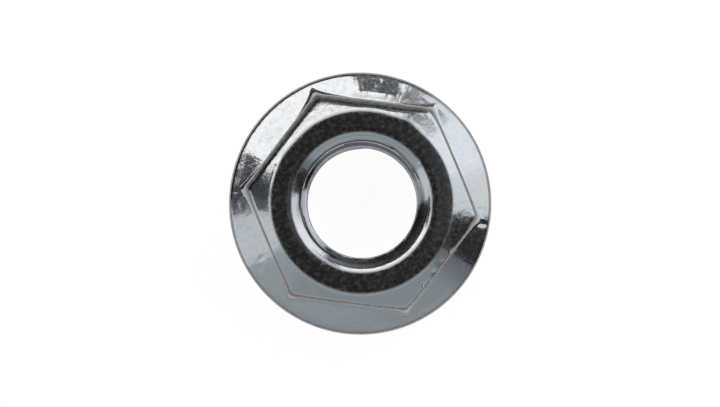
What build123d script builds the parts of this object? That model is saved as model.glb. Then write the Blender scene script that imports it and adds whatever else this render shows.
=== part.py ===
"""Serrated flange nut, 3/8 in - 16 UNC, one cold-formed steel piece.

A hexagon with a domed crown stands on a sloping round flange. The underside of the flange is a
ring of ratchet teeth that bite into the work when the nut is turned loose.

Lengths are in millimetres. Z is the thread axis and points out of the top of the hexagon, the
tooth crests lie in the plane Z = 0, and two flats of the hexagon face +X and -X.
"""

import os
from math import cos, radians, tan

from build123d import *

# Thread hole, at the minor diameter of the thread tapped into it
thread_major_diameter = 9.525
bore_diameter = 7.82
countersink_over_thread = 0.2  # the mouth of a countersink is this much wider than the thread
countersink_angle = 120.0
countersink_lip_rounding = 1.2

# Hexagon
nut_height = 8.6
across_flats = 14.25
hexagon_corner_rounding = 0.6

# Crown: the round flat top, the slope that falls from it to the flats, and the edge they meet in
crown_width = 1.175  # from the edge of the flat top to a flat, seen from above
crown_slope = 27.0
crown_blend_radius = 1.2
crown_edge_rounding = 0.6

# Flange
flange_diameter = 18.9
rim_thickness = 1.15
flange_slope = 24.0
rim_top_rounding = 0.2
rim_bottom_rounding = 0.4
hexagon_root_rounding = 0.65

# Bearing side: the ring of ratchet teeth, and the plain recess inside it
tooth_count = 30
tooth_depth_at_rim = 0.45
tooth_crest_width = 0.2
tooth_root_rounding = 0.12
steep_flank_lean = 12.0  # how far the steep flank leans from upright, in degrees
recess_diameter = 11.0
recess_below_teeth = 0.08  # the recess is this much deeper than the tooth gaps at its edge
recess_wall_angle = 45.0

cutter_margin = 1.0  # how far a cutter or an envelope runs past the metal

# Sizes that follow from the ones above
bore_radius = bore_diameter / 2
countersink_radius = (thread_major_diameter + countersink_over_thread) / 2
countersink_depth = (countersink_radius - bore_radius) / tan(radians(countersink_angle / 2))
flat_distance = across_flats / 2
flange_radius = flange_diameter / 2
flange_peak_z = rim_thickness + flange_radius * tan(radians(flange_slope))
envelope_radius = flange_radius + cutter_margin
corner_centre_radius = (flat_distance - hexagon_corner_rounding) / cos(radians(30))
corner_shelf = flange_radius - rim_top_rounding - corner_centre_radius - hexagon_corner_rounding
root_rounding = min(hexagon_root_rounding, corner_shelf)
crown_flat_radius = flat_distance - crown_width
crown_corner_radius = crown_flat_radius + crown_blend_radius * tan(radians(crown_slope / 2))
crown_foot_z = nut_height - (envelope_radius - crown_corner_radius) * tan(radians(crown_slope))
recess_radius = recess_diameter / 2
recess_depth = tooth_depth_at_rim * recess_radius / flange_radius + recess_below_teeth
recess_mouth_radius = recess_radius + recess_depth * tan(radians(recess_wall_angle))

# One tooth gap, as wide and deep as it has grown where its cutter ends, beyond the rim
gap_growth = envelope_radius / flange_radius
gap_depth = tooth_depth_at_rim * gap_growth
gap_pitch = 2 * envelope_radius * tan(radians(180 / tooth_count))
gap_half_width = (gap_pitch - tooth_crest_width * gap_growth) / 2
gap_root_y = gap_depth * tan(radians(steep_flank_lean)) - gap_half_width


def meeting_edges(solid):
    """The edges where a slope meets the hexagon: those that are neither straight nor round."""
    not_round = solid.edges().filter_by(GeomType.CIRCLE, reverse=True)
    return not_round.filter_by(GeomType.LINE, reverse=True)


# The cutter for one tooth gap: a steep flank, and a long ramp that falls away from the top of it.
# All of it aims at one point on the axis, so a gap grows wider and deeper towards the rim. The
# point lies in the bore, where there is nothing to cut, so that end is taken off.
with BuildPart() as tooth_gap:
    with BuildSketch(Plane.YZ.offset(envelope_radius)) as gap_section:
        with BuildLine():
            Polyline(
                (-gap_half_width, -cutter_margin),
                (-gap_half_width, 0),
                (gap_root_y, gap_depth),
                (gap_half_width, 0),
                (gap_half_width, -cutter_margin),
                close=True,
            )
        make_face()
        gap_root = gap_section.vertices().sort_by(Axis.Y)[-1]
        fillet(gap_root, radius=tooth_root_rounding * gap_growth)
    loft(sections=[Vertex(0, 0, 0), gap_section.sketch.face()], ruled=True)
    split(bisect_by=Plane.YZ.offset(bore_radius))

with BuildPart() as flange_nut:
    # Hexagon, from inside the flange up
    with BuildSketch(Plane.XY.offset(rim_thickness)) as hexagon:
        RegularPolygon(radius=flat_distance, side_count=6, major_radius=False, rotation=30)
        fillet(hexagon.vertices(), radius=hexagon_corner_rounding)
    extrude(amount=nut_height - rim_thickness)

    # Crown: what lies outside the domed envelope is taken away, and the edge left is rounded
    with BuildSketch(Plane.XZ) as crown_envelope:
        with BuildLine():
            Polyline(
                (0, 0),
                (envelope_radius, 0),
                (envelope_radius, crown_foot_z),
                (crown_corner_radius, nut_height),
                (0, nut_height),
                close=True,
            )
        make_face()
        crown_corner = crown_envelope.vertices().group_by(Axis.Y)[-1].sort_by(Axis.X)[-1]
        fillet(crown_corner, radius=crown_blend_radius)
    revolve(axis=Axis.Z, mode=Mode.INTERSECT)
    fillet(meeting_edges(flange_nut), radius=crown_edge_rounding)

    # Flange: a disc with a rounded rim, whose top slopes up to the hexagon and on inside it
    with BuildSketch(Plane.XZ) as flange_profile:
        with BuildLine():
            Polyline(
                (0, 0),
                (flange_radius, 0),
                (flange_radius, rim_thickness),
                (0, flange_peak_z),
                close=True,
            )
        make_face()
        rim_corners = flange_profile.vertices().group_by(Axis.X)[-1].sort_by(Axis.Y)
        fillet(rim_corners[0], radius=rim_bottom_rounding)
        fillet(rim_corners[1], radius=rim_top_rounding)
    revolve(axis=Axis.Z)
    root_edges = meeting_edges(flange_nut).filter_by_position(Axis.Z, 0, nut_height / 2)
    fillet(root_edges, radius=root_rounding)

    # Bore with its two countersinks, and the plain recess round its lower end
    with BuildSketch(Plane.XZ) as bore_profile:
        with BuildLine():
            Polyline(
                (0, -cutter_margin),
                (recess_mouth_radius, -cutter_margin),
                (recess_mouth_radius, 0),
                (recess_radius, recess_depth),
                (countersink_radius, recess_depth),
                (bore_radius, recess_depth + countersink_depth),
                (bore_radius, nut_height - countersink_depth),
                (countersink_radius, nut_height),
                (countersink_radius, nut_height + cutter_margin),
                (0, nut_height + cutter_margin),
                close=True,
            )
        make_face()
    revolve(axis=Axis.Z, mode=Mode.SUBTRACT)
    top_circles = flange_nut.edges().filter_by(GeomType.CIRCLE).group_by(Axis.Z)[-1]
    countersink_lip = top_circles.sort_by(SortBy.RADIUS)[0]
    fillet(countersink_lip, radius=countersink_lip_rounding)

    # Ratchet teeth: the gaps are cut, which leaves a narrow flat crest between each two
    with PolarLocations(radius=0, count=tooth_count):
        add(tooth_gap.part, mode=Mode.SUBTRACT)

flange_nut.part.label = "flange_nut"
os.makedirs("parts", exist_ok=True)
export_step(flange_nut.part, "parts/flange_nut.step")
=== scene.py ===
# %% [markdown]
# # A serrated flange nut in bright zinc plate
#
# A flange nut is a hexagon nut and a washer forged in one piece of steel. The hexagon takes the
# wrench, the sloping round flange spreads the load, and a ring of ratchet teeth under the flange
# bites into the work, so that vibration can't turn the nut loose. This lesson gives the plain
# engineering solid its looks: the thread, the soft forged edges and the mirror-like plating.
#
# The solid comes in first. It is the frame that everything is built around, and its box is the
# size that nothing here may change.

import math

import bmesh
import bpy
import numpy as np
from mathutils import Matrix, Vector


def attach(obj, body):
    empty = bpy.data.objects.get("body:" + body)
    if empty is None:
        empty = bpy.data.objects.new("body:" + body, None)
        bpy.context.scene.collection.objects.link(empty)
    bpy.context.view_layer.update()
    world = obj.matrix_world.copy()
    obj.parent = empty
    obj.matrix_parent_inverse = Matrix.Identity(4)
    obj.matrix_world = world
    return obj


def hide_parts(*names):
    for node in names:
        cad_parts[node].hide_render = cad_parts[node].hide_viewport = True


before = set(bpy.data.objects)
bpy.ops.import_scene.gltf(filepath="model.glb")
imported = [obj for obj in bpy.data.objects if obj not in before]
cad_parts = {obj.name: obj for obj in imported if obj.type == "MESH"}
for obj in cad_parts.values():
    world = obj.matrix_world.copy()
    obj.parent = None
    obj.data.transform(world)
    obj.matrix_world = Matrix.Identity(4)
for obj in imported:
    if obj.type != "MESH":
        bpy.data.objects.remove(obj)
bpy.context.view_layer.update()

# %% [markdown]
# ## What is known of the nut
#
# A maker draws a turned or forged part as a profile: a half section that goes once round its
# axis. The nut could also be carved with boolean cuts, but those leave ragged faces that spoil a
# mirror finish, so it is built from its profile. Every value has a name and is in millimetres,
# and the mesh is scaled to metres at its very end. Angles are in degrees, and the lean of a
# surface is its angle from level.

# %% Hexagon and crown
MM = 0.001
nut_height = 8.6
flat_distance = 7.125
corner_rounding = 0.4
crown_flat_radius = 5.95
crown_slope = 26.3
crown_blend = 1.25
print("across the flats:", 2 * flat_distance)

# %% Flange and rim
flange_radius = 9.45
flange_off_centre = 0.14
rim_thickness = 1.15
flange_slope = 24.0
rim_top_rounding = 0.42
rim_bottom_rounding = 0.4
print("across the flange:", 2 * flange_radius)

# %% Bore, thread, countersinks and recess
minor_radius = 3.91
major_radius = 9.525 / 2
pitch = 25.4 / 16
countersink_radius = 4.8625
countersink_lean = 32.6
lip_rounding = 1.2
recess_radius = 5.5
recess_depth = 0.342
print("pitch of the thread:", pitch)

# %% Ratchet teeth
tooth_count = 30
tooth_depth = 0.45
tooth_crest = 0.2
steep_flank_lean = 12.0
tooth_root_rounding = 0.12
print("angle from tooth to tooth:", 360 / tooth_count)

# %% Roll of the camera, from which the places of marks and cards are counted
camera_roll = -22.8
print("corners of the hexagon at", [round(30 + 60 * k - camera_roll) for k in range(6)])


# %% [markdown]
# ## A ratchet tooth
#
# Each tooth gap has a steep flank that bites, a rounded root, and a long ramp that lets the nut
# be turned tight. Every line of a gap aims at one point on the axis, so the gap grows wider and
# deeper in step with the radius. That makes it a formula of the angle alone: the height of its
# roof for each millimetre from the axis. A formula puts the same tooth thirty times round the
# nut with clean edges.

# %% Trigonometry in degrees
def sine(degrees):
    return np.sin(np.radians(degrees))


def cosine(degrees):
    return np.cos(np.radians(degrees))


def tangent(degrees):
    return np.tan(np.radians(degrees))


print("a sharp corner is", round(1 / cosine(30), 4), "times as far out as a flat")

# %% One tooth gap, seen along the radius at one millimetre from the axis
gap_half = tangent(180 / tooth_count) - tooth_crest / 2 / flange_radius
gap_depth = tooth_depth / flange_radius
gap_root = gap_depth * tangent(steep_flank_lean) - gap_half
ramp_lean = math.degrees(math.atan2(gap_depth, gap_half - gap_root))
print("lean of a tooth's ramp:", round(ramp_lean, 2))

# %% The rounded root of a gap
root_turn = 90 - steep_flank_lean + ramp_lean
root_radius = tooth_root_rounding / flange_radius
root_reach = root_radius / tangent((180 - root_turn) / 2)
arc_start = gap_root - root_reach * sine(steep_flank_lean)
arc_end = gap_root + root_reach * cosine(ramp_lean)
arc_middle = arc_end - root_radius * sine(ramp_lean)
arc_level = gap_depth - root_reach * sine(ramp_lean) - root_radius * cosine(ramp_lean)
print("root rounding spans, in degrees:", np.degrees([arc_start, arc_end]).round(2))


# %% Height of the underside over the floor
def gap_height(degrees):
    """How high the gap's roof is at this angle, for each millimetre from the axis."""
    turn = (degrees + 180 / tooth_count) % (360 / tooth_count) - 180 / tooth_count
    across = tangent(turn)
    steep = (across + gap_half) / tangent(steep_flank_lean)
    gentle = (gap_half - across) * tangent(ramp_lean)
    inside = np.clip(root_radius**2 - (across - arc_middle) ** 2, 0, None)
    arc = arc_level + np.sqrt(inside)
    on_arc = (across > arc_start) & (across < arc_end)
    roof = np.where(on_arc, arc, np.minimum(steep, gentle))
    return np.clip(roof, 0, None) * cosine(turn)


print("gap at the rim, in mm:", gap_height(np.degrees(arc_middle)) * flange_radius)


# %% [markdown]
# ## Where the columns of the mesh stand
#
# The mesh is a net of columns and rows. A column is the whole profile at one angle round the
# axis, and a row goes once round. A net shows an edge sharply only where a column or a row lies
# on it. Evenly spaced columns would have to be very many to meet every edge, so they stand where
# the shape turns: close together at the hexagon's six corners, and on each tooth at the two edges
# of its crest, along its rounded root and down its ramp.

# %% Columns of one tooth and of one corner
def tooth_columns():
    """The angles of one tooth's columns, from its steep flank to the edge of the next crest."""
    edge = math.degrees(math.atan(gap_half))
    arc = np.degrees(np.linspace(arc_start, arc_end, 6))
    steep_middle = (arc[0] - edge) / 2
    down_ramp = np.linspace(arc[-1], edge, 6)[1:]
    return np.concatenate([[-edge, steep_middle], arc, down_ramp])


def corner_columns():
    """Angles from a corner of the hexagon, closest together where the corner turns."""
    half = np.array([0, 0.35, 0.7, 1.05, 1.4, 1.8, 2.3, 3.0, 4.0, 5.2])
    return np.concatenate([-half[:0:-1], half])


print("columns on a tooth:", len(tooth_columns()), "on a corner:", len(corner_columns()))

# %% The angles of all columns
least_step = 0.04
tooth_angles = [tooth_columns() + k * 360 / tooth_count for k in range(tooth_count)]
corner_angles = [corner_columns() + 30 + k * 60 for k in range(6)]
columns = np.concatenate(tooth_angles + corner_angles) % 360
columns = np.unique(columns.round(4))
columns = columns[np.append(True, np.diff(columns) > least_step)]
print("columns:", len(columns))


# %% [markdown]
# ## The outside: crown, flats, flange and underside
#
# A rolling-ball fillet on a solid has one radius all the way round. A forging is softer where
# the steel had far to flow, so here the roundings of the crown's edge and of the hexagon's root
# grow from the middle of a flat to a corner, and each side of the nut has its own amount. That is
# simple in a net, because a radius may be one value for each column.
#
# The profile is made in runs, from the lip of the hole outwards, down and back under the flange.
# Each run gives a few rows: an arc gives more of them than a straight run, because only a curve
# needs them.

# %% Steps along a run
def arc_leans(first, last, steps):
    """Evenly spaced leans, as a column vector so that they combine with the columns."""
    return np.linspace(first, last, steps)[:, None]


def shares(first, last, steps):
    """Evenly spaced shares of a straight run, as a column vector."""
    return np.linspace(first, last, steps)[:, None]


def ramp(value, low, high):
    """0 at low, 1 at high and straight between them."""
    return np.clip((value - low) / (high - low), 0, 1)


print("halfway up a ramp:", ramp(5.0, 0, 10))


# %% Places round the nut
def turn_to(angle):
    """How far each column is from an angle that is counted from the right of the frame."""
    return np.abs((columns - camera_roll - angle + 180) % 360 - 180)


def window(angle, half_angle, soft):
    """1 within so many degrees of an angle, 0 outside it, and a soft step between."""
    share = np.clip((half_angle - turn_to(angle)) / soft + 0.5, 0, 1)
    return share * share * (3 - 2 * share)


print("columns near the frame's right:", int((window(0, 10, 2) > 0.5).sum()))

# %% How near each column is to a corner
from_flat = (columns + 30) % 60 - 30
corner_share = (np.abs(from_flat) / 30) ** 3
corner_tip = (np.abs(from_flat) / 30) ** 12
print("columns in the last fifth before a corner:", int((np.abs(from_flat) > 24).sum()))

# %% Roundings of the crown's edge and of the hexagon's root
least_rounding = 0.5
soft_side, top_flat, crisp_side = 113, 83, -123
crown_edge = least_rounding + 0.3 * corner_share
crown_edge = crown_edge + 0.4 * window(soft_side, 62, 16) + 0.35 * window(top_flat, 24, 24)
root_growth = 0.58 * corner_share + 0.4 * corner_tip
root_rounding = least_rounding + root_growth * (1 - 0.45 * window(crisp_side, 70, 10))
print("crown's edge rounding:", crown_edge.min().round(2), "to", crown_edge.max().round(2))

# %% A flat top that is not quite round
bulge_angle, dip_angle = 60, 137
bulge, dip = 0.2, 0.07
top_edge = crown_flat_radius + bulge * window(bulge_angle, 3, 20) - dip * window(dip_angle, 8, 14)
crown_break = top_edge + crown_blend * tangent(crown_slope / 2)
print("flat top reaches", top_edge.min().round(2), "to", top_edge.max().round(2))


# %% The hexagon's wall
def wall_radius():
    """How far the hexagon's wall is from the axis in each column."""
    centre = (flat_distance - corner_rounding) / cosine(30)
    to_corner = 30 - np.abs(from_flat)
    inside = np.clip(corner_rounding**2 - (centre * sine(to_corner)) ** 2, 0, None)
    rounded = centre * cosine(to_corner) + np.sqrt(inside)
    half_flat = (flat_distance - corner_rounding) * tangent(30)
    on_corner = flat_distance * tangent(np.abs(from_flat)) > half_flat
    return np.where(on_corner, rounded, flat_distance / cosine(from_flat))


wall = wall_radius()
print("wall from", wall.min().round(3), "to", wall.max().round(3))

# %% Lip of the countersink
lip_start = countersink_radius + lip_rounding * tangent(countersink_lean / 2)
lip_lean = arc_leans(countersink_lean, 0, 8)
lip = (
    lip_start - lip_rounding * sine(lip_lean),
    nut_height - lip_rounding * (1 - cosine(lip_lean)),
)
print("lip starts at", round(float(lip_start), 3))

# %% Flat top, and the blend that leads from it into the crown's slope
share = shares(0.25, 0.75, 3)
top = (lip_start + (top_edge - lip_start) * share, nut_height + 0 * share)
blend_lean = arc_leans(0, crown_slope, 9)
blend = (
    top_edge + crown_blend * sine(blend_lean),
    nut_height - crown_blend * (1 - cosine(blend_lean)),
)
print("blend ends at", blend[0][-1].min().round(3), "to", blend[0][-1].max().round(3))

# %% Slope of the crown
crown_end = wall - crown_edge * tangent((90 - crown_slope) / 2) * cosine(crown_slope)
crown_end_z = nut_height - (crown_end - crown_break) * tangent(crown_slope)
slope_start = top_edge + crown_blend * sine(crown_slope)
slope_r = slope_start + (crown_end - slope_start) * shares(0.25, 0.75, 3)
slope = (slope_r, nut_height - (slope_r - crown_break) * tangent(crown_slope))
print("slope ends at height", crown_end_z.min().round(2), "to", crown_end_z.max().round(2))

# %% The edge where the crown turns down into the wall
edge_lean = arc_leans(crown_slope, 90, 12)
edge = (
    crown_end + crown_edge * (sine(edge_lean) - sine(crown_slope)),
    crown_end_z - crown_edge * (cosine(crown_slope) - cosine(edge_lean)),
)
wall_top = edge[1][-1]
print("crown's edge ends at height", wall_top.min().round(2), "to", wall_top.max().round(2))

# %% Wall, and the hollow at its root
root_z = rim_thickness + (flange_radius - wall) * tangent(flange_slope)
wall_foot = root_z + root_rounding * tangent((90 - flange_slope) / 2)
share = np.array([0.04, 0.35, 0.65, 0.96])[:, None]
wall_run = (wall + 0 * share, wall_top + (wall_foot - wall_top) * share)
root_lean = arc_leans(90, flange_slope, 9)
root = (
    wall + root_rounding * (1 - sine(root_lean)),
    wall_foot - root_rounding * cosine(root_lean),
)
print("root ends at", root[0][-1].min().round(3), "to", root[0][-1].max().round(3))

# %% Slope of the flange
rim_top_reach = rim_top_rounding * tangent((90 - flange_slope) / 2)
slope_end = flange_radius - rim_top_reach * cosine(flange_slope)
slope_end_z = rim_thickness + (flange_radius - slope_end) * tangent(flange_slope)
flange_r = root[0][-1] + (slope_end - root[0][-1]) * shares(0.07, 0.93, 14)
flange = (flange_r, rim_thickness + (flange_radius - flange_r) * tangent(flange_slope))
print("flange slopes down to", round(float(slope_end_z), 3))

# %% The rim: a rounding, a narrow upright band and another rounding
rim_lean = arc_leans(flange_slope, 90, 6)
rim_top = (
    slope_end + rim_top_rounding * (sine(rim_lean) - sine(flange_slope)),
    slope_end_z - rim_top_rounding * (cosine(flange_slope) - cosine(rim_lean)),
)
share = shares(0.33, 0.67, 2)
rim_top_z = rim_top[1][-1]
rim = (flange_radius + 0 * share, rim_top_z + (rim_bottom_rounding - rim_top_z) * share)
under_lean = arc_leans(0, 90, 7)
rim_bottom = (
    flange_radius - rim_bottom_rounding * (1 - cosine(under_lean)),
    rim_bottom_rounding * (1 - sine(under_lean)),
)
print("rim's upright band:", round(float(rim_top_z[0]), 3), "to", rim_bottom_rounding)

# %% Ring of teeth, and the plain recess inside it
recess_mouth = recess_radius + recess_depth
tooth_r = flange_radius - rim_bottom_rounding
share = shares(0.1, 0.98, 7)
teeth = (tooth_r + (recess_mouth - tooth_r) * share, 0 * share)
share = shares(0, 1, 6)
recess_wall = (recess_mouth - recess_depth * share, recess_depth * share)
share = shares(0.5, 1, 2)
recess = (recess_radius + (countersink_radius - recess_radius) * share, recess_depth + 0 * share)
print("ring of teeth:", recess_mouth, "to", tooth_r)

# %% All runs of the outside as one table of rows and columns
runs = {
    "lip": lip,
    "top": top,
    "blend": blend,
    "slope": slope,
    "edge": edge,
    "wall": wall_run,
    "root": root,
    "flange": flange,
    "rim_top": rim_top,
    "rim": rim,
    "rim_bottom": rim_bottom,
    "teeth": teeth,
    "recess_wall": recess_wall,
    "recess": recess,
}
level = np.zeros(len(columns))
outside_r = np.vstack([run_r + level for run_r, run_z in runs.values()])
outside_z = np.vstack([run_z + level for run_r, run_z in runs.values()])
print("rows of the outside:", len(outside_r))

# %% The tooth gaps lift the underside off the floor
underside = outside_z < rim_thickness / 2
lifted = np.maximum(outside_z, gap_height(columns) * outside_r)
outside_z = np.where(underside, lifted, outside_z)
print("highest gap, in mm:", round(float(lifted[underside].max()), 3))

# %% [markdown]
# ## Where shade is painted on the edges
#
# The rounded edges, the hexagon's root, the rim, the teeth and the recess are darkened to a
# brown-grey in the plating's colour. This is painted shade, standing in for the darker reflections
# that such leaning faces show. A mask for that could be drawn from the curvature of the mesh, but
# such a mask is ragged. The profile knows every run's lean, so the mask is worked out with the
# profile, as a share for each row. It starts where the surface leans well over, and it is stored on
# the points of the mesh, where the plating reads it later.

# %% Shares of painted shade
# Painted shade: these shares darken the plating's colour where faces lean well over, on the edges,
# the root, the rim, the teeth and the recess.
shade_starts, shade_is_full = 37, 43
shaded_edge, shaded_rim, shaded_band, shaded_teeth, shaded_recess = 0.88, 0.72, 0.6, 0.4, 0.3
# On the soft side, the painted shade covers the upper part of the crown's edge fully.
edge_shade = shaded_edge + (1 - shaded_edge) * ramp(edge_lean, 66, 54) * window(soft_side, 60, 8)
painted_shade_by_run = {
    "edge": ramp(edge_lean, shade_starts, shade_is_full) * edge_shade,
    "root": shaded_edge * ramp(root_lean, shade_starts, shade_is_full) * (1 - 0.45 * corner_tip),
    "rim_top": shaded_rim * ramp(rim_lean, 26, 36) - 0.1 * ramp(rim_lean, 60, 90),
    "rim": shaded_band,
    "rim_bottom": shaded_band - 0.2 * ramp(under_lean, 0, 60),
    "teeth": shaded_teeth,
    "recess_wall": shaded_teeth,
    "recess": shaded_recess,
}
print("runs with wear:", ", ".join(painted_shade_by_run))

# %% The painted shade of every point of the outside
painted_shade = np.vstack([painted_shade_by_run.get(name, 0) + 0 * run[0] + level for name, run in runs.items()])
print("worn share of the rows:", round(float((painted_shade > 0.5).mean()), 3))

# %% [markdown]
# ## A pad, a bent stretch, and marks in the finish
#
# The press leaves a pad on the flange for stamped signs. It is blank here, and a few degrees
# steeper than the flange round it, so it mirrors another part of the room. A stretch of the
# flange beyond it is bent down a little as well. Both could be sculpted, but a drop that grows
# with the radius is truer, because it keeps each column straight. Two more masks say where the
# finish ripples, on the pad, and where it is finely mottled.

# %% A steeper stretch of the flange
pad_angle, pad_extra_lean = 81.5, 3.7
bend_angle, bend_extra_lean = 164.5, 1.5
steeper_from = 7.8


def steepen(angle, half_angle, soft, extra_lean):
    """How far the flange drops where it is steeper by so many degrees."""
    out = np.clip(outside_r - steeper_from, 0, None)
    upper = ramp(outside_z, 0.45, 0.95)
    extra = tangent(flange_slope + extra_lean) - tangent(flange_slope)
    return out * extra * upper * window(angle, half_angle, soft)


drop = steepen(pad_angle, 11, 6, pad_extra_lean) + steepen(bend_angle, 6, 8, bend_extra_lean)
print("deepest drop:", round(float(drop.max()), 3))

# %% Where the finish ripples and where it is mottled
on_flange = ramp(outside_r, 7.5, 8.0) * (outside_z > rim_thickness / 2)
on_crown = ramp(outside_r, 6.3, 6.7) * (outside_z > nut_height / 2)
ripple = window(pad_angle, 13.5, 6) * on_flange
mottled_sides = window(166, 13, 6) + 0.5 * window(-18, 13, 6)
mottle = mottled_sides * np.maximum(on_flange, on_crown) + 0.4 * window(58, 10, 8) * on_crown
outside_z = outside_z - drop
print("mottled share of the points:", round(float((mottle > 0.5).mean()), 3))

# %% [markdown]
# ## The thread
#
# A screw thread is a groove that climbs one pitch in each turn. A screw modifier could wind it,
# but it would not close with the countersinks. So its rows climb: a row starts at some height on
# the first column and arrives one pitch higher after a whole turn, where the row a pitch above
# it began. Crest and root of the thread lie on rows, and are clean lines. A row that climbs past
# the countersink is held at its rim. The groove gets shallow in the last turn under the upper
# countersink, because the tap's cut was pressed back when that was formed.

# %% Depth of the groove over one pitch
crest_half, root_half = 1 / 8, 1 / 16


def groove(turns):
    """Depth of the thread's groove, 0 at the nut's crest to 1 at its root, for a count of turns."""
    phase = np.abs((turns + 0.5) % 1 - 0.5)
    return ramp(phase, crest_half, 0.5 - root_half)


print("groove a quarter of a pitch above a crest:", groove(0.25))

# %% Rows in one pitch, on the edges of crest and root and between them
crest = np.linspace(-crest_half, crest_half, 5)
flank = np.linspace(crest_half, 0.5 - root_half, 8)[1:]
rows_in_pitch = np.concatenate([crest, flank, 1 - flank[::-1]])[:-1]
rows_in_pitch = np.sort(np.unique(rows_in_pitch.round(5) % 1))
print("rows in one pitch:", len(rows_in_pitch))

# %% The climbing rows, held between the two countersinks' rims
lip_foot_z = float(lip[1][0, 0])
start_turn = 0.28
pitches = int(nut_height / pitch) + 3
turns = np.concatenate([rows_in_pitch + k for k in range(-2, pitches)])[:, None]
thread_columns = np.append(columns, 360.0 + columns[0])
climb = pitch * (turns + start_turn + thread_columns / 360)
thread_z = np.clip(climb, recess_depth, lip_foot_z)
print("rows of the thread:", len(thread_z))

# %% The groove, and the last turn where it was pressed back
full_depth = major_radius - minor_radius
thread_r = minor_radius + full_depth * groove(thread_z / pitch - thread_columns / 360 - start_turn)
pressed_heights = (6.6, 7.9, 8.22)
pressed_radii = (major_radius, 4.12, 4.25)
thread_r = np.minimum(thread_r, np.interp(thread_z, pressed_heights, pressed_radii))
print("bore from", thread_r.min().round(3), "to", thread_r.max().round(3))

# %% The two countersinks cut it back
upper = countersink_radius - (nut_height - thread_z) / tangent(countersink_lean)
lower = countersink_radius - (thread_z - recess_depth) / tangent(countersink_lean)
thread_r = np.maximum(thread_r, np.maximum(upper, lower))
print("radius at the lower and upper end:", thread_r[0, 0].round(3), thread_r[-1, 0].round(3))

# %% Painted shade in the bore, lighter on two sides, and a painted dark line on its first turn
ring = np.append(np.arange(len(columns)), 0)
# Painted shade in the bore: the thread is greyed below the top of the hole, and less so on two
# sides, where light reaches it.
bore_shade_radius, bore_shade_height = 4.43, 8.0
first_turn_radius, shaded_first_turn = 4.2, 0.9
bore_shade = np.clip((bore_shade_radius - thread_r) / 0.06 + (bore_shade_height - thread_z) / 0.1, 0, 1)
lit_bore_sides = 0.45 * window(-160, 35, 20) + 0.5 * window(-72, 48, 14)
bore_shade = bore_shade * (1 - lit_bore_sides[ring])
# A painted dark line round the first turn of the thread, under the upper countersink.
first_turn = np.exp(-(((thread_r - first_turn_radius) / 0.1) ** 2)) * ramp(thread_z, 7.8, 8.0)
print("dull share of the bore:", round(float((bore_shade > 0.5).mean()), 3))

# %% [markdown]
# ## Dents
#
# Nuts fall on each other in the bulk bin, and each of them carries small marks. Dents could be
# sculpted, or left to a bump in the material. But a dent is no more than a soft hollow, so a bell
# curve taken off the height is enough, and then it is real shape. The mirror finish shows it as a
# small swirl of light and dark. The fifteen are listed one by one: on the hexagon's edge, where
# nuts strike each other hardest, and a few on the flange and the lip.

# %% Each dent: its angle, radius, half width, half length along the radius, and depth
dents = {
    "lip": [(-122, 4.93, 0.08, 0.15, 0.03), (36, 4.80, 0.07, 0.12, 0.03)],
    "crown": [(158, 6.40, 0.10, 0.25, 0.012)],
    "hexagon's edge": [
        (-53, 7.22, 0.10, 0.13, 0.10),
        (-44, 6.98, 0.11, 0.15, 0.10),
        (-37, 6.90, 0.08, 0.20, 0.07),
        (-29, 7.12, 0.11, 0.12, 0.09),
    ],
    "flange": [
        (-131, 7.70, 0.08, 0.10, 0.03),
        (-143, 8.25, 0.14, 0.10, 0.035),
        (-147, 8.60, 0.08, 0.30, 0.035),
        (-151, 8.15, 0.12, 0.12, 0.03),
    ],
    "flange by two corners": [
        (-9.5, 8.85, 0.17, 0.32, 0.035),
        (-3, 8.55, 0.10, 0.20, 0.015),
        (176, 8.95, 0.13, 0.26, 0.022),
        (180, 8.60, 0.10, 0.22, 0.015),
    ],
}
all_dents = [dent for group in dents.values() for dent in group]
print("dents:", {place: len(group) for place, group in dents.items()})


# %% Pressing them in
def dented(angles, radii, heights):
    """The heights with every dent pressed in. The underside has none."""
    for angle, radius, half_width, half_length, depth in all_dents:
        away = (angles - camera_roll - angle + 180) % 360 - 180
        across = np.radians(away) * radius / half_width
        along = (radii - radius) / half_length
        heights = heights - depth * np.exp(-(across**2) - along**2) * (heights > nut_height / 8)
    return heights


print("deepest dent:", max(dent[-1] for dent in all_dents))

# %% [markdown]
# ## From tables to one closed mesh
#
# A spin or a screw modifier turns one profile round an axis, but here each column has a profile
# of its own. So each table becomes a net of four-sided faces. The two nets meet in the lip of the
# upper countersink and in the rim of the lower one, where their points fall together and are
# merged, and the nut is one closed skin. The flange's disc is a little off the hexagon's centre,
# as the two halves of a forging die seldom meet exactly. The edges are shaded smooth, except
# those that turn sharply.

# %% The masks that the mesh carries
skin = bmesh.new()
mask_names = ("painted_shade", "ripple", "mottle", "thread", "bore")
layers = {name: skin.verts.layers.float.new(name) for name in mask_names}
outside_masks = {"painted_shade": painted_shade[:, ring], "ripple": ripple[:, ring], "mottle": mottle[:, ring]}
bore_masks = {
    "painted_shade": shaded_first_turn * first_turn,
    "thread": bore_shade,
    "bore": np.ones_like(thread_r),
}
print("masks:", ", ".join(layers))


# %% A net of faces
def place_points(angles, radii, heights):
    """Points in metres. The flange is shifted to the left of the frame, and the hexagon isn't."""
    shift = flange_off_centre * ramp(radii, 7.6, 8.8)
    x = radii * cosine(angles) - shift * cosine(camera_roll)
    y = radii * sine(angles) - shift * sine(camera_roll)
    return np.stack([x, y, dented(angles, radii, heights)], axis=-1) * MM


def net(angles, radii, heights, masks):
    """Adds a grid of points and the faces between them. The rows are in order down the profile."""
    places = place_points(angles, radii, heights)
    points = [[skin.verts.new(spot) for spot in row] for row in places]
    for name, table in masks.items():
        for i, j in np.ndindex(table.shape):
            points[i][j][layers[name]] = table[i, j]
    for above, below in zip(points, points[1:]):
        for j in range(len(above) - 1):
            skin.faces.new((above[j], below[j], below[j + 1], above[j + 1]))


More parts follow.
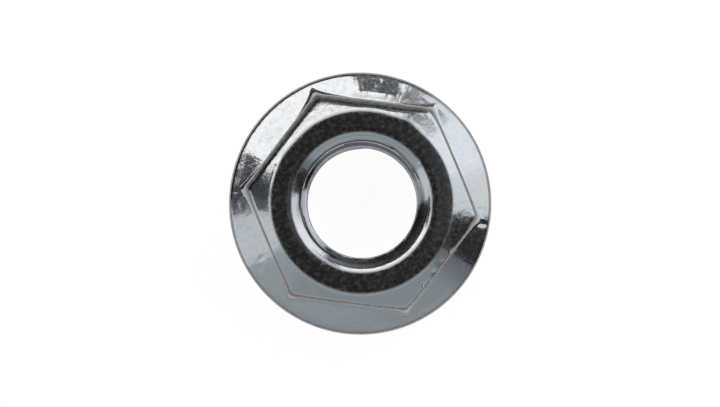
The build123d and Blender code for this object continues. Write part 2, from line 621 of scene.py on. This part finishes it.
net(thread_columns, outside_r[:, ring], outside_z[:, ring], outside_masks)
net(thread_columns, thread_r, thread_z, bore_masks)
print("points before merging:", len(skin.verts))

# %% Merging the two nets into one closed skin
bmesh.ops.remove_doubles(skin, verts=skin.verts, dist=1e-7)
bmesh.ops.dissolve_degenerate(skin, edges=skin.edges, dist=1e-7)
bmesh.ops.recalc_face_normals(skin, faces=skin.faces)
open_edges = [e for e in skin.edges if not e.is_manifold]
print("faces:", len(skin.faces), "open edges:", len(open_edges))
print("volume, in cubic mm:", round(skin.calc_volume() / MM**3, 1))

# %% The nut as an object
sharp_from = 38
shape = bpy.data.meshes.new("flange_nut_skin")
skin.to_mesh(shape)
skin.free()
shape.shade_smooth()
shape.set_sharp_from_angle(angle=math.radians(sharp_from))
nut = bpy.data.objects.new("flange_nut_skin", shape)
bpy.context.collection.objects.link(nut)
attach(nut, "root")
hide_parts("flange_nut")
print("triangles:", sum(len(p.vertices) - 2 for p in shape.polygons))


# %% [markdown]
# ## Wires: shader maths as plain sums
#
# A material is a net of nodes. Added by hand, each node takes several lines, and the sum that
# they work out gets lost. So one small class stands for a node's output: sums on it add Math
# nodes, and its one method adds any other kind of node.

# %% The class for a wire
class Wire:
    """A value on its way through a node tree."""

    def __init__(self, tree, socket=None):
        self.tree = tree
        self.socket = socket

    def node(self, kind, settings=None, sockets=None, output=0):
        """Adds a node. Its settings come first, then a value or a wire for each socket named."""
        made = self.tree.nodes.new(kind)
        for name, value in (settings or {}).items():
            setattr(made, name, value)
        for name, value in (sockets or {}).items():
            end = next(s for i, s in enumerate(made.inputs) if name in (i, s.identifier, s.name))
            if isinstance(value, Wire):
                self.tree.links.new(value.socket, end)
            else:
                end.default_value = value
        found = (s for i, s in enumerate(made.outputs) if output in (i, s.identifier, s.name))
        return Wire(self.tree, next(found, None))

    def maths(self, operation, first, second):
        """A Math node on two numbers."""
        return self.node("ShaderNodeMath", {"operation": operation}, {0: first, 1: second})

    def vector(self, operation, second=None, output="Vector", name=1):
        """A Vector Math node on this wire."""
        sockets = {0: self} if second is None else {0: self, name: second}
        return self.node("ShaderNodeVectorMath", {"operation": operation}, sockets, output)

    def __add__(self, other):
        return self.maths("ADD", self, other)

    def __radd__(self, other):
        return self.maths("ADD", other, self)

    def __sub__(self, other):
        return self.maths("SUBTRACT", self, other)

    def __rsub__(self, other):
        return self.maths("SUBTRACT", other, self)

    def __mul__(self, other):
        return self.maths("MULTIPLY", self, other)

    def __rmul__(self, other):
        return self.maths("MULTIPLY", other, self)

    def __gt__(self, other):
        return self.maths("GREATER_THAN", self, other)


print("a wire adds its own nodes")


# %% A material with nothing in it yet
def empty_material(name):
    """A new material, and the wire that its nodes start from."""
    material = bpy.data.materials.new(name)
    material.use_nodes = True
    material.node_tree.nodes.clear()
    return material, Wire(material.node_tree)


zinc, plating = empty_material("zinc_plated_steel")
place = plating.node("ShaderNodeTexCoord", output="Object")
print("material:", zinc.name)


# %% [markdown]
# ## The plating: shallow bumps
#
# Bright zinc is a thin coat of metal on the steel. It mirrors what is round it, and bends the
# picture a little with the shallow waves that forging left, with streaks that ran out from the
# axis, and with a grain of tiny crystals. Modelled faces would be far too many for that, so each
# of these is a bump of noise, some hundredths or thousandths of a millimetre deep, and each lies
# on the one before it.

# %% Noise, and values stored on the points of the skin
def mask(name):
    """A value stored on the points of the skin."""
    return plating.node("ShaderNodeAttribute", {"attribute_name": name}, output="Fac")


def clouds(size, detail=2.0, where=place):
    """Noise whose lumps are about this size in millimetres."""
    sockets = {"Vector": where, "Scale": 1 / (size * MM), "Detail": detail}
    return plating.node("ShaderNodeTexNoise", {}, sockets)


print("masks to read:", ", ".join(mask_names))


# %% A bump on a bump
def bump(height, depth, under=None):
    """A bump that many millimetres deep, over another bump."""
    sockets = {"Height": height, "Strength": 1.0, "Distance": depth * MM}
    if under:
        sockets["Normal"] = under
    return plating.node("ShaderNodeBump", {}, sockets)


print("a bump's depth is given in millimetres")

# %% Places for streaks, which run out from the axis
# Places that differ much round the axis and little along the radius draw noise out into streaks.
streak_radius = 9 * MM
streak_squeeze = 0.22
from_axis = place.vector("MULTIPLY", (1, 1, 0))
spoke = from_axis.vector("NORMALIZE").vector("SCALE", streak_radius, name="Scale")
outward = from_axis.vector("LENGTH", output="Value") * streak_squeeze
streaked = spoke.vector("ADD", plating.node("ShaderNodeCombineXYZ", {}, {"Z": outward}))
print("streaks are about", round(1 / streak_squeeze, 1), "times as long as they are wide")

# %% Bumps: waves, lumps, streaks, the pad's ripples, mottling and grain
waves = bump(clouds(1.7), depth=0.009)
lumps = bump(clouds(0.42, detail=3.0), depth=0.006, under=waves)
streaks = bump(clouds(0.3, where=streaked), depth=0.0015, under=lumps)
rippled = clouds(0.45, detail=1.0, where=streaked) * mask("ripple")
ripples = bump(rippled, depth=0.085, under=streaks)
mottling = bump(clouds(0.2, detail=2.5) * mask("mottle"), depth=0.006, under=ripples)
grain = bump(clouds(0.25), depth=0.0008, under=mottling)
print("bumps, from the largest to the finest: waves, lumps, streaks, ripples, mottling and grain")


# %% [markdown]
# ## The plating: colours
#
# Zinc is a blue-grey metal. The coat has faint cool and warm tints and a touch of yellow where the
# rinse dried on it. Painted shade goes over them: a brown-grey on the edges, the rim and the teeth,
# and a grey in the bore, where the metal would show darker reflections. One colour would look like
# chrome. The tints are mixed by noise, and the painted shade by the masks on the mesh.

# %% A soft step, and a mix of two colours
def between(value, low, high):
    """0 below low, 1 above high and a soft step between them."""
    settings = {"interpolation_type": "SMOOTHSTEP"}
    return plating.node("ShaderNodeMapRange", settings, {"Value": value, 1: low, 2: high})


def blend_colours(share, first, second):
    """The second colour over the first, by this share."""
    sockets = {"Factor_Float": share, "A_Color": first, "B_Color": second}
    return plating.node("ShaderNodeMix", {"data_type": "RGBA"}, sockets, "Result_Color")


print("a colour is its red, green and blue, and 1 for solid")

# %% Colours
cool_zinc = (0.735, 0.77, 0.795, 1)
warm_zinc = (0.78, 0.775, 0.77, 1)
yellow_zinc = (0.76, 0.765, 0.68, 1)
# Painted shade: the brown-grey that the edges, the rim and the teeth are darkened to.
painted_shade_brown = (0.09, 0.084, 0.082, 1)
# Painted shade: the grey of the bore.
bore_shade_grey = (0.29, 0.29, 0.31, 1)
print("clean plating gives back", round(sum(cool_zinc[:3]) / 3, 2), "of the light")

# %% Faint tints, and the painted shade of the edges and of the bore
tints = between(clouds(1.3), 0.38, 0.66)
stains = between(clouds(0.9, detail=3.0), 0.56, 0.72) * 0.5
# Painted shade on the edges, the rim and the teeth, made a little uneven by noise.
painted_shade_share = mask("painted_shade") * (0.9 + 0.1 * between(clouds(0.4), 0.35, 0.6))
tinted = blend_colours(stains, blend_colours(tints, cool_zinc, warm_zinc), yellow_zinc)
edged = blend_colours(painted_shade_share, tinted, painted_shade_brown)
# The bore's painted shade is laid over the rest by the mask called thread.
colour = blend_colours(mask("thread") * 0.9, edged, bore_shade_grey)
print("nodes so far:", len(zinc.node_tree.nodes))


# %% [markdown]
# ## The plating: gloss
#
# A clean coat is a mirror, and what clouds it is a haze of specks and rubbed streaks, with more of
# it where shade is painted on the edges. One metal of a middling roughness would blur the whole
# picture alike, as on satin chrome. So two metals lie over each other, a clear one and a hazy one,
# and the haze is the share of the second.
# There is less of it in the bore and where the finish is mottled.

# %% Share of haze
least_haze, speck_haze, streak_haze, haze_where_shaded = 0.02, 0.32, 0.08, 0.3
clean_bore, clean_mottle = 0.7, 0.97
specks = between(clouds(0.32), 0.42, 0.75)
rubbed = between(clouds(0.3, where=streaked), 0.45, 0.8)
# More haze where shade is painted on the edges.
haze = least_haze + specks * speck_haze + rubbed * streak_haze + mask("painted_shade") * haze_where_shaded
haze = haze * (1 - mask("bore") * clean_bore) * (1 - mask("mottle") * clean_mottle)
print("haze on unshaded plating:", least_haze, "to", least_haze + speck_haze + streak_haze)


# %% The two metals, and the finished plating
clear_roughness, hazy_roughness = 0.12, 0.38


def zinc_metal(roughness):
    """The plating at one roughness."""
    sockets = {"Base Color": colour, "Metallic": 1.0, "Roughness": roughness, "Normal": grain}
    return plating.node("ShaderNodeBsdfPrincipled", {}, sockets)


metals = {0: haze, 1: zinc_metal(clear_roughness), 2: zinc_metal(hazy_roughness)}
metal = plating.node("ShaderNodeMixShader", {}, metals)
plating.node("ShaderNodeOutputMaterial", {}, {"Surface": metal})
shape.materials.append(zinc)
print("nodes in the plating:", len(zinc.node_tree.nodes))

# %% [markdown]
# ## The studio
#
# The nut stands on a white floor in white surroundings. A floor lit by lamps would come out grey
# and uneven. This one glows for the camera and in the nut's mirror faces, and so is plain white
# in both, but it sheds no light on anything dull. It still takes the nut's soft shadow, because a
# little of it is ordinary paper.

# %% Floor
floor_reach = 3.0
floor_shape = bpy.data.meshes.new("floor")
quarters = ((-1, -1), (1, -1), (1, 1), (-1, 1))
floor_corners = [(x * floor_reach, y * floor_reach, 0) for x, y in quarters]
floor_shape.from_pydata(floor_corners, [], [(0, 1, 2, 3)])
stage_piece = bpy.data.objects.new("floor", floor_shape)
bpy.context.collection.objects.link(stage_piece)
print("floor at the height of the tooth crests,", 2 * floor_reach, "metres wide")

# %% Floor's finish
floor_glow, floor_paper = 0.95, 0.16
white, sheet = empty_material("floor_white")
camera_ray = sheet.node("ShaderNodeLightPath", output="Is Camera Ray")
glossy_ray = sheet.node("ShaderNodeLightPath", output="Is Glossy Ray")
through_ray = sheet.node("ShaderNodeLightPath", output="Is Transmission Ray")
seen = (camera_ray + glossy_ray + through_ray) > 0.5
paper = sheet.node("ShaderNodeBsdfDiffuse", {}, {"Color": (*[floor_paper] * 3, 1)})
glow_sockets = {"Color": (1, 1, 1, 1), "Strength": seen * floor_glow}
glow = sheet.node("ShaderNodeEmission", {}, glow_sockets)
both = sheet.node("ShaderNodeAddShader", {}, {0: paper, 1: glow})
sheet.node("ShaderNodeOutputMaterial", {}, {"Surface": both})
floor_shape.materials.append(white)
print("floor's glow:", floor_glow)

# %% White surroundings
world = bpy.data.worlds.new("surroundings")
bpy.context.scene.world = world
world.use_nodes = True
world.node_tree.nodes["Background"].inputs["Color"].default_value = (1, 1, 1, 1)
world.node_tree.nodes["Background"].inputs["Strength"].default_value = 1.0
print("surroundings: plain white")

# %% [markdown]
# ## Cards for a mirror
#
# A mirror shows its surroundings, so lighting metal means placing what it mirrors. Lamps would
# only add small hot spots. Curved cards hang round the nut instead, on a sphere and out of the
# camera's sight, each with a plain glow: a black card is called a flag, as in a real studio. A
# card with a hard edge gives a hard line in the metal, so a card can fade at each of its edges.

# %% How much a card covers
def card_cover(around, lean, azimuths, leans, fade):
    """1 in the middle of a card, and less towards each edge that fades."""
    cover = np.ones((len(lean), len(around)))
    edges = (around - azimuths[0], azimuths[1] - around, lean - leans[0], leans[1] - lean)
    for away, width in zip(edges, fade):
        if width:
            cover = cover * np.clip(away / width, 0, 1)
    return cover


half_card = card_cover(np.array([0, 1, 2]), np.array([[45]]), (0, 2), (40, 50), (2, 0, 0, 0))
print("a card that fades over its whole width:", half_card.ravel())


# %% Paint of a card
def card_paint(name, colour):
    """A glow where the card covers, and nothing where it doesn't."""
    paint, wire = empty_material(name)
    cover = wire.node("ShaderNodeAttribute", {"attribute_name": "cover"}, output="Fac")
    nothing = wire.node("ShaderNodeBsdfTransparent")
    light = wire.node("ShaderNodeEmission", {}, {"Color": (*colour, 1), "Strength": 1.0})
    mixed = wire.node("ShaderNodeMixShader", {}, {0: cover, 1: nothing, 2: light})
    wire.node("ShaderNodeOutputMaterial", {}, {"Surface": mixed})
    return paint


print("a card's paint is a glow and a clear share")


# %% Shape of a card
def card_shape(name, distance, around, lean):
    """A curved net of faces, this far from the nut."""
    x = sine(lean) * cosine(around + camera_roll)
    y = sine(lean) * sine(around + camera_roll)
    z = cosine(lean) + 0 * around
    points = distance * np.stack([x, y, z], axis=-1).reshape(-1, 3)
    wide = len(around)
    corners = [row * wide + i for row in range(len(lean) - 1) for i in range(wide - 1)]
    faces = [(c, c + 1, c + wide + 1, c + wide) for c in corners]
    made = bpy.data.meshes.new(name)
    made.from_pydata(points.tolist(), [], faces)
    return made


print("a card's azimuth is counted from the right of the frame, its lean from straight up")

# %% Hanging a card
card_distance = 0.6
card_gap = 0.004
cards = []


def card(name, azimuths, leans, colour, fade=(0, 0, 0, 0)):
    """Hangs a card between two azimuths and between two leans, in front of the last one.

    It fades to nothing over so many degrees at its start, end, upper and lower edge.
    """
    around = np.linspace(*azimuths, 61)
    lean = np.linspace(*leans, 31)[:, None]
    made = card_shape(name, card_distance - card_gap * len(cards), around, lean)
    cover = card_cover(around, lean, azimuths, leans, fade)
    made.attributes.new("cover", "FLOAT", "POINT").data.foreach_set("value", cover.ravel())
    made.materials.append(card_paint(name, colour))
    hung = bpy.data.objects.new(name, made)
    bpy.context.collection.objects.link(hung)
    hung.visible_camera = False
    cards.append(hung)
    print("card:", name, "azimuth", azimuths, "lean", leans)


# %% [markdown]
# ## What each face sees
#
# A surface mirrors what stands at twice its lean, and the camera's nearness adds a few degrees.
# The flange sees the cards near 51 degrees from straight up, the crown near 55 and the pad near
# 59. The countersink slopes the other way and sees the opposite side of the room near 65, its
# lip everything from 30 to 60, and the flat top what is overhead. So a card that is to show in
# one face covers only that face's degrees. Grey cards go round the dim side, bluish white ones
# round the right, and the key card, brighter than white, gives the upper left its gleam. Black
# flags under and over the key card draw the dark lines along the rounded edges.

# %% The grey ring behind all others, and the cards of the dim side
whole_side = (28, 90)
card("grey_card", (-180, 180), whole_side, (0.325, 0.36, 0.385))
card("dim_grey_card", (-140, -40), (50, 60), (0.26, 0.29, 0.31), fade=(12, 0, 2, 2))
card("side_grey_card", (-44, -15), whole_side, (0.17, 0.185, 0.2), fade=(8, 0, 0, 0))
card("lilac_card", (-186, -150), whole_side, (0.62, 0.65, 0.68), fade=(3, 3, 0, 0))

# %% The bluish white cards of the right side, and the flag that ends them
card("less_bright_card", (-8, 30), whole_side, (0.74, 0.78, 0.82), fade=(2, 0, 0, 0))
card("bright_card", (12, 64), whole_side, (0.94, 0.975, 1.02), fade=(9, 5, 0, 0))
card("side_flag", (-30, -5), (29, 90), (0.022, 0.02, 0.019), fade=(2, 1.5, 12, 0))

# %% The key card with a flag under it, and a grey card that only the bore and the pad see
card("key_flag", (56, 182), (57, 90), (0.018, 0.018, 0.02), fade=(3, 3, 0, 0))
card("key_card", (64, 172), (28, 57.6), (1.25, 1.25, 1.25), fade=(5, 3, 0, 0.8))
card("lower_start_card", (52, 112), (60.5, 78), (0.2, 0.21, 0.225), fade=(6, 46, 2, 10))

# %% Flags in front of the key card: the dark patch at the left of the flange and the crown
card("key_low_flag", (156.5, 176), (42, 53.5), (0.016, 0.017, 0.02), fade=(1, 2, 0, 1))
card("key_middle_flag", (161, 176), (53.4, 58), (0.016, 0.017, 0.02), fade=(1.5, 2, 1, 0))

# %% Dimmer cards above the key card, which only the lip sees, and the key card's two dim ends
card("key_upper_card", (70, 150), (28, 48), (0.86, 0.87, 0.86), fade=(6, 6, 0, 2))
card("start_upper_card", (44, 76), (28, 48), (0.5, 0.53, 0.56), fade=(8, 6, 0, 2))
card("key_start_upper_flag", (61.5, 74), (47.5, 54), (0.3, 0.31, 0.335), fade=(3, 3, 1, 0.6))
card("key_start_flag", (44, 72), (53.8, 58.5), (0.09, 0.095, 0.105), fade=(4, 8, 0.6, 1))
card("key_end_flag", (164, 185), (44, 58.5), (0.05, 0.053, 0.062), fade=(4, 1.5, 3, 0))

# %% The flag overhead, which the flat top mirrors, with a lighter patch
card("overhead_flag", (0, 360), (0, 39.5), (0.0165, 0.0148, 0.013), fade=(0, 0, 0, 13))
card("overhead_patch", (-25, 60), (0.4, 26), (0.052, 0.055, 0.058), fade=(20, 20, 1, 4))

# %% [markdown]
# ## The camera
#
# The nut is seen from straight above, or nearly so. A wide lens close by would make the hexagon
# look larger than the flange under it, so a long lens stands well back. The camera's roll turns
# the hexagon's corners to their slant.

# %% Where the camera looks
seen_right, seen_up, seen_level = -0.135, -0.04, 4.0
frame_right = Vector((cosine(camera_roll), sine(camera_roll), 0))
frame_up = Vector((-sine(camera_roll), cosine(camera_roll), 0))
target = (frame_right * seen_right + frame_up * seen_up + Vector((0, 0, seen_level))) * MM
print("looks at, in mm:", [round(x * 1000, 3) for x in target])

# %% Where it stands, a little off the nut's axis
camera_distance = 166.8 * MM
camera_lean = 0.75
lean_azimuth = camera_roll - 70.0
sideways = sine(camera_lean)
from_target = (sideways * cosine(lean_azimuth), sideways * sine(lean_azimuth), cosine(camera_lean))
camera_place = target + Vector(from_target) * camera_distance
print("stands at, in mm:", [round(x * 1000, 1) for x in camera_place])

# %% Camera
camera = bpy.data.objects.new("camera", bpy.data.cameras.new("camera"))
bpy.context.collection.objects.link(camera)
bpy.context.scene.camera = camera
camera.data.sensor_width = 36.0
camera.data.lens = 118.0
camera.data.clip_start = 0.01
camera.location = camera_place
back = (camera_place - target).normalized()
up = back.cross(frame_right).normalized()
turned = Matrix((up.cross(back), up, back)).transposed()
camera.rotation_euler = turned.to_euler()
print("roll of the camera:", round(math.degrees(camera.rotation_euler.z), 1))

# %% [markdown]
# ## Closing
#
# The view transform is set to Standard, so that colours show as they are written.

# %% View transform, and the end
bpy.context.scene.view_settings.view_transform = "Standard"
